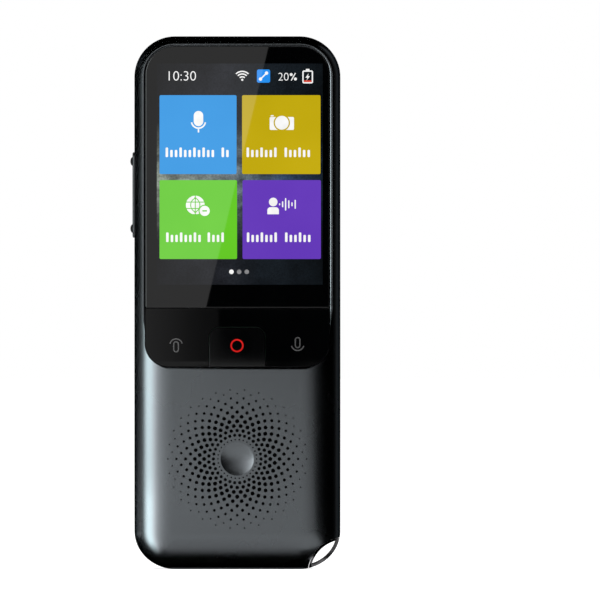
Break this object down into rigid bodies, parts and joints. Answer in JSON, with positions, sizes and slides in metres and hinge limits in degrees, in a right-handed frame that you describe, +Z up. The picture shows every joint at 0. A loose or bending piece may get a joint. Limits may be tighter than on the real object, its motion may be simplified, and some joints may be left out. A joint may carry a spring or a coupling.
{
  "type": "handheld translator",
  "caption": "Slim rounded pocket translator with a small screen, a ramp of talk and home keys, a rosette speaker grille, a side rocker, a rear camera and a lanyard loop.",
  "frame": {"origin": "middle of the flat lower end, on which the device stands", "axes": "+Z up the length, -Y out of the screen, +X to the right as seen from the screen side"},
  "size_m": [0.0465, 0.013, 0.1181],
  "materials": {
    "shell": "satin metallic slate-grey coating",
    "chassis": "glass-filled, moulded",
    "cover_glass": "polished, printed black on the back",
    "lcd": "polarising film",
    "diffuser": "white diffuser film",
    "flex": "amber polyimide",
    "talk_key": "high-gloss black with printed icons",
    "home_key": "satin black with a red ring",
    "board": "green solder mask on fibreglass",
    "steel": "stamped, nickel plated",
    "side_key": "satin metallic grey coating",
    "rubber": "soft black",
    "black_plastic": "moulded black",
    "mesh": "fine black acoustic mesh",
    "foam": "closed-cell foam",
    "paper": "pressed speaker cone film",
    "foil": "laminated battery foil",
    "camera_glass": "polished black",
    "bright_trim": "polished bevel",
    "lens": "coated lens window",
    "light_pipe": "milky clear",
    "diode": "yellow phosphor",
    "screw": "black zinc"
  },
  "bodies": {
    "housing": {"front_shell": "shell", "back_shell": "shell", "mid_frame": "chassis", "screen_glass": "cover_glass", "lcd_panel": "lcd", "backlight": "diffuser", "lcd_flex": "flex", "key_board": "board", "key_switch_left": "steel", "key_switch_home": "steel", "key_switch_right": "steel", "volume_switch_up": "black_plastic", "volume_switch_down": "black_plastic", "volume_flex": "flex", "speaker_mesh": "mesh", "speaker_gasket": "foam", "speaker_frame": "black_plastic", "speaker_cone": "paper", "speaker_magnet": "steel", "main_board": "board", "camera_board": "board", "shield_can": "steel", "link_flex": "flex", "battery_cell": "foil", "battery_plug": "black_plastic", "battery_lead_plus": "rubber", "battery_lead_minus": "rubber", "camera_plate": "camera_glass", "camera_ring": "bright_trim", "camera_window": "lens", "camera_module": "black_plastic", "flash_pipe": "light_pipe", "flash_led": "diode", "usb_shell": "steel", "usb_tongue": "black_plastic", "lower_microphone": "steel", "upper_microphone": "steel", "aerial_strip": "flex", "lanyard_loop": "bright_trim", "housing_screw_1": "screw", "housing_screw_2": "screw", "housing_screw_3": "screw", "housing_screw_4": "screw", "board_screw_1": "screw", "board_screw_2": "screw"},
    "talk_keys": {"talk_rocker": "talk_key"},
    "home_key": {"home_button": "home_key"},
    "volume_key": {"volume_rocker": "side_key", "volume_stud_up": "rubber", "volume_stud_down": "rubber"}
  },
  "joints": [
    {"name": "talk_rock", "type": "hinge", "parent": "housing", "child": "talk_keys", "pos_m": [0, -0.00298, 0.0513], "axis": [0, 0, 1], "range_deg": [-1, 1], "stiffness_Nm_per_rad": 1},
    {"name": "home_press", "type": "slide", "parent": "housing", "child": "home_key", "axis": [0, 1, 0], "range_m": [0, 0.00025], "stiffness_N_per_m": 2500},
    {"name": "volume_rock", "type": "hinge", "parent": "housing", "child": "volume_key", "pos_m": [-0.02096, 0, 0.0829], "axis": [0, 1, 0], "range_deg": [-1.5, 1.5], "stiffness_Nm_per_rad": 0.4}
  ]
}
